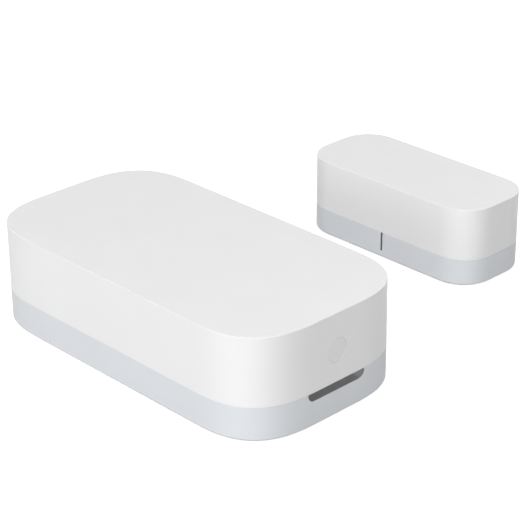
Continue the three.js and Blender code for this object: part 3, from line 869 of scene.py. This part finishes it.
def radio_chip():
    low, high = mm_box("radio_chip")
    middle, size = middle_of("radio_chip")
    edge, pitch = size.x / 2, 0.5
    dimple = lathe([(0, high.z - 0.04), (0.22, high.z - 0.04), (0.25, high.z + 0.1), (0, high.z + 0.1)], 32,
                   (low.x + 0.6, high.y - 0.6))
    parts = [cut(box(low + Vector((0, 0, 0.02)), high, 0.05), [dimple])]
    for turn in (0, 90, 180, 270):
        for across in [(i - 3.5) * pitch for i in range(8)]:
            foot = box((edge - 0.25, across - 0.12, 0), (edge + 0.03, across + 0.12, 0.2), 0.015, 1, paint=1)
            land = box((edge - 0.1, across - 0.13, -0.045), (edge + 0.3, across + 0.13, -0.015), 0.01, 1,
                paint=1)
            parts += [placed(part, at(middle.x, middle.y, low.z, turn)) for part in (foot, land)]
    piece("radio_chip_package", joined(*parts), ["chip_black", "tin"], "radio_chip")


def crystal_can():
    """A ceramic base, a flange and a lid: inset, bottom, top, edge radius, segments and paint of each."""
    low, high = mm_box("crystal")
    layers = [(0, 0, 0.25, 0.05, 2, 1), (0.08, 0.25, 0.33, 0.03, 2, 0),
        (0.22, 0.3, high.z - low.z, 0.14, 4, 0)]
    parts = []
    for inset, bottom, top, radius, segments, paint in layers:
        layer_low = (low.x + inset, low.y + inset, low.z + bottom)
        parts.append(box(layer_low, (high.x - inset, high.y - inset, low.z + top), radius, segments, paint))
    piece("crystal_can", joined(*parts), ["sheet_steel", "ceramic"], "crystal")


def antenna():
    low, high = mm_box("chip_antenna")
    parts = [box(low, high, 0.06, 3)]
    for i in range(5):
        x = low.x + 0.75 + i * (high.x - low.x - 1.5) / 4
        band_low, band_high = (x - 0.11, low.y - 0.015, low.z + 0.03), (x + 0.11, high.y + 0.015,
            high.z + 0.02)
        parts.append(box(band_low, band_high, 0.04, 2, paint=1))
    for x0, x1 in ((low.x - 0.01, low.x + 0.35), (high.x - 0.35, high.x + 0.01)):
        parts.append(box((x0, low.y - 0.012, low.z), (x1, high.y + 0.012, high.z + 0.015), 0.06, 3, paint=1))
    piece("chip_antenna_body", joined(*parts), ["ceramic", "tin"], "chip_antenna")


def gull_leg(length, drop, width, thickness=0.12):
    """A leg that leaves a package level, steps down and lies on its pad. It starts at x = 0."""
    corners = [(-0.1, 0, 0), (length * 0.35, 0, 0.08), (length * 0.55, -drop, 0.08), (length, -drop, 0)]
    return swept(corners, flat_section(width, thickness), segments=3)


def regulator():
    middle, size = middle_of("voltage_regulator")
    low, high = mm_box("voltage_regulator")
    parts = [box((low.x, low.y, low.z + 0.08), high, 0.12, 3)]
    level = low.z + 0.55
    for side, places in ((-90, (-0.95, 0, 0.95)), (90, (-0.95, 0.95))):
        for offset in places:
            leg = gull_leg(0.65, level - BOARD_TOP - 0.1, 0.4)
            place = at(middle.x, middle.y, level, side) @ at(size.y / 2, offset)
            parts.append(painted(placed(leg, place), 1))
    piece("voltage_regulator_package", joined(*parts), ["chip_black", "tin"], "voltage_regulator")


def led():
    low, high = mm_box("status_led")
    base = box(low, (high.x, high.y, low.z + 0.32), 0.03, 2, paint=1)
    lens = box((low.x + 0.03, low.y + 0.25, low.z + 0.3), (high.x - 0.03, high.y - 0.25, high.z), 0.12, 4)
    sides = ((low.y - 0.01, low.y + 0.22), (high.y - 0.22, high.y + 0.01))
    ends = [box((low.x - 0.01, y0, low.z), (high.x + 0.01, y1, low.z + 0.34), 0.03, 2, paint=2)
        for y0, y1 in sides]
    piece("status_led_lens", joined(base, lens, *ends), ["led_resin", "cream_plastic", "tin"], "status_led")


def tact_switch():
    low, high = mm_box("tact_switch_body")
    plunger_low, plunger_high = mm_box("tact_switch_plunger")
    gap = 0.2
    body = box(low, high, 0.08, 3)
    pocket_high = (high.x + 1, plunger_high.y + gap, plunger_high.z + gap)
    pocket = box((plunger_low.x - 0.4, plunger_low.y - gap, plunger_low.z - gap), pocket_high, 0.1, 3)
    piece("tact_switch_housing", cut(body, [pocket]), "switch_black", "tact_switch_body")

    low, high = mm_box("tact_switch_frame")
    sheet = 0.15
    top = high.z - sheet / 2
    side = high.y - sheet / 2
    corners = [(-side, low.z, 0), (-side, top, 0.18), (side, top, 0.18), (side, low.z, 0)]
    shell = placed(swept(corners, flat_section(high.x - low.x, sheet), segments=4),
        at((low.x + high.x) / 2, 0, 0, 90))
    rivet = [(0, -0.02), (0.22, -0.02), (0.2, 0.08), (0.1, 0.11), (0, 0.11)]
    rivet = [(radius, high.z + level) for radius, level in rivet]
    rivets = [lathe(rivet, 24, (x, y)) for x in (low.x + 0.6, high.x - 0.6) for y in (-1.5, 1.5)]
    legs = []
    for sign in (-1, 1):
        for spot in (low.x + 0.45, low.x + 1.4):
            leg_place = at(spot, sign * (side + 0.05), BOARD_TOP + 0.39, sign * 90)
            legs.append(placed(gull_leg(0.75, 0.3, 0.45), leg_place))
    piece("tact_switch_sheet", joined(shell, *rivets, *legs), "sheet_steel", "tact_switch_frame")

    piece("tact_switch_pin", box(plunger_low, plunger_high, 0.16, 4), "cream_plastic", "tact_switch_plunger")


# ------------------------------------------------------------------ reed switch

def reed_switch():
    middle, size = middle_of("reed_glass")
    half, radius, wall = size.x / 2, size.y / 2, 0.22
    neck = 0.4
    outer = rounded([(neck, -half, 0), (radius - 0.05, -half, 0.5), (radius, half, 0.5),
        (neck, half, 0)], 8, 0)
    inner = rounded([(neck, half - 0.7, 0), (radius - wall, half - 1.3, 0.35),
        (radius - wall, -half + 1.3, 0.35), (neck, -half + 0.7, 0)], 6, 0)
    glass = placed(lathe(outer + inner + [outer[0]], 64), at(0, middle.y, middle.z) @ FACING_X)
    piece("reed_glass_tube", glass, "reed_glass", "reed_glass")

    outer_low, outer_high = mm_box("reed_lead_outer")
    foot_level = outer_low.z + 0.25
    moving_low, moving_high = mm_box("reed_blade_moving")
    thickness, blade_half = moving_high.y - moving_low.y, (moving_high.z - moving_low.z) / 2
    drop = [(6.5, middle.z, 0), (8.5, middle.z, 0.5), (9.3, foot_level, 0.45),
        (outer_high.x - 0.03, foot_level, 0)]
    moving_middle = (moving_low.y + moving_high.y) / 2
    wire = swept(drop, round_section(0.25), at(0, middle.y))
    root = taper(6.6, outer_low.x, blade_half * 0.8, middle.y, moving_middle, middle.z, thickness / 2)
    piece("reed_wire_outer", joined(wire, root), "reed_nickel", "reed_lead_outer")

    fixed_middle = 2 * middle.y - moving_middle
    fixed_end = mm_box("reed_lead_fixed_blade")[1].x
    wire = swept(drop, round_section(0.25), at(0, middle.y, 0, 180))
    root = taper(-6.6, -5.3, blade_half, middle.y, fixed_middle, middle.z, thickness / 2)
    blade = box((-5.4, fixed_middle - thickness / 2, moving_low.z),
        (fixed_end, fixed_middle + thickness / 2, moving_high.z), 0.04, 2)
    piece("reed_wire_fixed", joined(wire, root, blade), "reed_nickel", "reed_lead_fixed_blade")

    piece("reed_blade_springy", box(moving_low, moving_high, 0.04, 2), "reed_nickel", "reed_blade_moving")


def taper(start, end, half_height, start_y, end_y, level, half_thickness, radius=0.25):
    """The stretch where a round wire is pressed out into a blade."""
    rings = []
    steps = 8
    for step in range(steps + 1):
        share = step / steps
        ease = share * share * (3 - 2 * share)
        x = start + (end - start) * share
        wide = radius + (half_height - radius) * ease
        thin = radius + (half_thickness - radius) * ease
        y = start_y + (end_y - start_y) * ease
        rings.append([(x, y + thin * cos(t), level + wide * sin(t))
            for t in (2 * pi * i / 24 for i in range(24))])
    return to_bmesh(*bridge(rings))


# ------------------------------------------------------------------ screws

def board_screw(node):
    """A pan head with a cross recess, and a helical thread up to its blunt point."""
    low, high = mm_box(node)
    spot, size = middle_of(node)
    head_radius, shoulder = size.x / 2, low.z + 0.65
    core, crest, pitch, sides, row_height = 0.56, 0.75, 0.5, 36, 0.06
    turns = [i / sides for i in range(sides)]

    def ring(level, radii):
        return [(spot.x + radius * cos(2 * pi * turn), spot.y + radius * sin(2 * pi * turn), level)
                for turn, radius in zip(turns, radii)]

    head = rounded([(0.3, low.z, 0), (head_radius - 0.1, low.z, 0.25), (head_radius, shoulder, 0.08),
                    (core, shoulder, 0)], 4, 0)
    rings = [ring(level, [radius] * sides) for radius, level in head]
    rows = int((high.z - shoulder) / row_height)
    for row in range(1, rows + 1):
        level = shoulder + (high.z - shoulder) * row / rows
        height = (crest - core) * max(0, min(1.0, (high.z - level) / 0.5, (level - shoulder) / 0.3))
        root = core * (0.45 + 0.55 * min(1.0, (high.z - level) / 0.35))
        teeth = [max(0.0, 1 - abs((level / pitch - turn) % 1 - 0.5) / 0.35) for turn in turns]
        rings.append(ring(level, [root + height * tooth for tooth in teeth]))
    arms = [cross_arm(spot, low.z, turn) for turn in (20, 110)]
    piece(f"{node}_body", cut(to_bmesh(*bridge(rings)), arms), "screw_steel", node)


def cross_arm(spot, level, turn):
    """One arm of a cross recess, tapering as it goes in."""
    rings = []
    for depth, length, width in ((-0.1, 0.85, 0.17), (0.0, 0.8, 0.16), (0.42, 0.3, 0.1)):
        rings.append([(x * length, y * width, level + depth) for x, y in ((-1, -1), (1, -1), (1, 1),
            (-1, 1))])
    return placed(to_bmesh(*bridge(rings)), at(spot.x, spot.y, 0, turn))


# ------------------------------------------------------------------ coin cell and its holder

def coin_cell():
    low, high = mm_box("coin_cell_can")
    middle, size = middle_of("coin_cell_can")
    radius, wall, x = size.x / 2, 0.3, middle.x
    cap_low, cap_high = mm_box("coin_cell_cap")
    profile = rounded([(0, low.z, 0), (radius - 1.6, low.z, 0.2), (radius - 1.5, low.z + 0.05, 0.1),
        (radius - 1.1, low.z + 0.05, 0.1), (radius - 1.0, low.z, 0.1), (radius, low.z, 0.35),
        (radius, high.z, 0.12), (radius - wall - 0.02, high.z - 0.02, 0.1),
        (radius - wall, low.z + wall, 0.1), (0, low.z + wall, 0)], 4, 0.01)
    can = lathe(profile, middle=(x, 0))
    bottom, top = low.z - 0.5, low.z + 0.035
    plus = [box((x - a, -b, bottom), (x + a, b, top), 0.02, 1) for a, b in ((2.2, 0.3), (0.3, 2.2))]
    piece("coin_cell_positive_can", cut(can, plus), "cell_nickel", "coin_cell_can")

    seal_low, seal_high = mm_box("coin_cell_gasket")
    seal_radius = (seal_high.x - seal_low.x) / 2
    seal = rounded([(seal_radius - 0.2, seal_low.z, 0), (seal_radius, seal_low.z, 0.06),
        (seal_radius, seal_high.z, 0.08), (seal_radius - 0.4, seal_high.z, 0.1),
        (seal_radius - 0.4, seal_low.z, 0.06), (seal_radius - 0.2, seal_low.z, 0)], 3, 0.005)
    piece("coin_cell_seal", lathe(seal, middle=(x, 0)), "seal_black", "coin_cell_gasket")

    cap_radius = (cap_high.x - cap_low.x) / 2
    cap = rounded([(0, cap_low.z, 0), (cap_radius, cap_low.z, 0.05), (cap_radius, cap_high.z - 0.45, 0.1),
        (cap_radius - 0.45, cap_high.z - 0.4, 0.15), (cap_radius - 0.8, cap_high.z, 0.25),
        (0, cap_high.z, 0)], 5, 0.01)
    piece("coin_cell_negative_cap", lathe(cap, middle=(x, 0)), "cell_nickel", "coin_cell_cap")


def battery_holder():
    low, high = mm_box("battery_holder")
    centre = middle_of("coin_cell_can")[0].x
    inner, outer, half_width = 8.25, 9.3, 8.65
    profile = rounded([(inner + 0.5, low.z, 0), (outer, low.z, 0.15), (outer, high.z, 0.15),
        (inner, high.z, 0.1), (inner, low.z, 0.3), (inner + 0.5, low.z, 0)], 4, 0.01)
    collar = lathe(profile, middle=(centre, 0))
    collar = kept(collar, [box((centre - 12, -half_width, low.z - 1),
        (centre + 12, half_width, high.z + 1), 0)])
    split = box((centre, -2.2, low.z - 2), (centre + 12, 2.2, high.z + 2), 0.25, 3)
    finger = placed(cylinder(2.6, -3, 3, 64), at(centre - outer, 0, low.z - 1.0) @ FACING_X)
    piece("battery_holder_collar", cut(collar, [split, finger]), "holder_black", "battery_holder")


def battery_contacts():
    low, high = mm_box("battery_clip_positive")
    sheet, width = 0.2, high.y - low.y
    corners = [(high.x, high.z - sheet / 2, 0), (low.x + sheet / 2 + 0.08, high.z - sheet / 2, 0.3),
        (low.x + sheet / 2 + 0.18, low.z + 1.5, 0.6), (low.x + sheet / 2, low.z + 0.75, 0.5),
        (low.x + sheet / 2 + 0.3, low.z + 0.02, 0)]
    clip = swept(corners, flat_section(width, sheet), segments=5)
    hole = cylinder(0.45, high.z - 2, high.z + 2, 28, (high.x - 1.2, 0))
    piece("battery_clip_spring", cut(clip, [hole]), "contact_gold", "battery_clip_positive")

    low, high = mm_box("battery_contact_negative")
    middle, size = middle_of("battery_contact_negative")
    leaf = prism([(x + middle.x, y) for x, y in outline(size.xy, (0.9, 2.0), 0, 6)], low.z, high.z, 0.02, 1)
    cutters = []
    for side in (-1, 1):
        reach = sorted((side * 0.62, side * 0.78))
        cutters.append(box((middle.x - 1.6, reach[0], low.z - 1), (middle.x + 2.1, reach[1], high.z + 1),
            0.05, 1))
        cutters.append(cylinder(0.3, low.z - 1, high.z + 1, 20, (middle.x - 2.4, side * 0.6)))
    dome = lathe([(0, low.z - 0.055), (0.2, low.z - 0.05), (0.42, low.z - 0.02), (0.55, low.z + 0.03),
        (0, low.z + 0.03)], 32, (middle.x + 1.2, 0))
    piece("battery_contact_leaf", fuse(cut(leaf, cutters), [dome]), "contact_gold",
        "battery_contact_negative")


# ------------------------------------------------------------------ magnet and soft pads

def crowned_block(low, high, crown, rows=7):
    """A foam block whose sides swell a little between its edges."""
    made = box(low, high, 0.25, 3)
    bmesh.ops.subdivide_edges(made, edges=made.edges[:], cuts=rows, use_grid_fill=True)
    middle = (Vector(low) + Vector(high)) / 2
    half = (Vector(high) - Vector(low)) / 2
    for vertex in made.verts:
        share = [(vertex.co[i] - middle[i]) / half[i] for i in range(3)]
        for axis in (0, 1):
            others = [1 - min(1, abs(share[i])) ** 2 for i in range(3) if i != axis]
            vertex.co[axis] += copysign(crown * others[0] * others[1], share[axis]) * abs(share[axis]) ** 4
    return made


def adhesive_pad(node, corner, inset):
    """Foam tape under its release film."""
    size, middle = case_size(node.replace("adhesive_pad", "tray"))
    low, high = mm_box(node)
    film = 0.07
    tape = rounded([(inset + 1, high.z, 0), (inset, high.z, 0.06), (inset, film, 0.06),
        (inset + 1, film, 0)], 3, 0.02)
    liner = rounded([(inset + 1, film - 0.01, 0), (inset - 0.02, film - 0.01, 0.02),
        (inset - 0.02, low.z, 0.02), (inset + 1, low.z, 0)], 2, 0.01)
    tape, liner = [case_loft(size, corner, profile, middle) for profile in (tape, liner)]
    made = joined(tape, painted(liner, 1))
    pad = piece(f"{node}_tape", made, ["adhesive_foam", "release_film"], node)


def board_and_parts():
    piece("board_plate", board_plate(), ["solder_mask", "glass_fibre"], "circuit_board")
    for name, made, material in (("pads", board_metal(), "gold"), ("solder", board_solder(), "tin"),
                                 ("tracks", board_tracks(), "mask_over_copper"),
                                 ("print", board_print(), "print_white")):
        piece(f"board_{name}", made, material, "circuit_board", stands_for=False)
    for node in (*CAPACITORS, "bulk_capacitor"):
        chip_part(node, True, 0.35 if node in CAPACITORS else 0.6, "capacitor_ceramic")
    for node in RESISTORS:
        chip_part(node, False, 0.3, "chip_black")
    for node in SCREWS:
        board_screw(node)


board_and_parts()
radio_chip()
crystal_can()
antenna()
regulator()
led()
tact_switch()
reed_switch()
coin_cell()
battery_holder()
battery_contacts()
piece("bar_magnet_block", box(*mm_box("bar_magnet"), 0.28, 4), "magnet_nickel", "bar_magnet")
foam = piece("magnet_foam_block", crowned_block(*mm_box("magnet_foam"), 0.12), "foam_dark", "magnet_foam")
adhesive_pad("sensor_adhesive_pad", SENSOR_CORNER, 2.4)
adhesive_pad("magnet_adhesive_pad", MAGNET_CORNER, 1.8)


# ------------------------------------------------------------------ floor, light and camera

def studio():
    world = bpy.data.worlds.new("studio")
    bpy.context.scene.world = world
    world.use_nodes = True
    background = world.node_tree.nodes["Background"]
    background.inputs["Color"].default_value = (1.0, 1.0, 1.0, 1)
    background.inputs["Strength"].default_value = ROOM_LIGHT

    paper = bmesh.new()
    bmesh.ops.create_grid(paper, x_segments=1, y_segments=1, size=2.5)
    floor = linked("floor", mesh_from(paper, "floor"))
    made, _, shader, _ = new_material("pale_floor", (0.92, 0.92, 0.92), 0.9)
    shader.inputs["Emission Color"].default_value = (1, 1, 1, 1)
    shader.inputs["Emission Strength"].default_value = FLOOR_GLOW
    floor.data.materials.append(made)
    floor.visible_diffuse = False
    floor.location.z = -0.02 * MM

    for name, azimuth, elevation, distance, size, power in LAMPS:
        turn, rise = radians(azimuth), radians(elevation)
        away = Vector((cos(rise) * cos(turn), cos(rise) * sin(turn), sin(rise)))
        data = bpy.data.lights.new(name, "AREA")
        data.size = size * MM
        data.energy = power
        lamp = linked(name, data)
        lamp.location = away * distance * MM
        lamp.rotation_euler = (Vector(LAMP_AIM) * MM - lamp.location).to_track_quat("-Z", "Y").to_euler()


ROOM_LIGHT = 0.105
FLOOR_GLOW = 0.7      # the paper is lit from below too, so that shadows on it stay faint
LAMP_AIM = (0, 15, 5)

# name, azimuth and elevation in degrees, distance and size in millimetres, watts
LAMPS = [
    ("left_box", -100, 50, 600, 260, 2.2),
    ("right_box", -25, 25, 600, 260, 1.9),
    ("back_box", 100, 50, 300, 200, 0.27),
    ("low_left_box", -90, 8, 600, 260, 0.45),
    ("low_front_box", -60, 10, 600, 200, 0.45),
]

CAMERA_AIM = (-8.42, 18.14, 0.2)
CAMERA_AZIMUTH = -43.95     # degrees from +X towards +Y, seen from the aim
CAMERA_ELEVATION = 25.95
CAMERA_DISTANCE = 202.3
CAMERA_ROLL = -0.38
CAMERA_LENS = 122.98        # for a sensor 36 mm wide


def camera():
    turn, tilt = radians(CAMERA_AZIMUTH + 90), radians(90 - CAMERA_ELEVATION)
    turned = Matrix.Rotation(turn, 4, "Z") @ Matrix.Rotation(tilt, 4, "X")
    turned = turned @ Matrix.Rotation(radians(CAMERA_ROLL), 4, "Z")
    data = bpy.data.cameras.new("camera")
    data.lens = CAMERA_LENS
    data.sensor_width = 36
    data.clip_start, data.clip_end = 0.005, 10
    made = linked("camera", data)
    made.matrix_world = at(*Vector(CAMERA_AIM) * MM) @ turned @ at(0, 0, CAMERA_DISTANCE * MM)
    bpy.context.scene.camera = made


studio()
camera()
bpy.context.scene.view_settings.view_transform = "Standard"
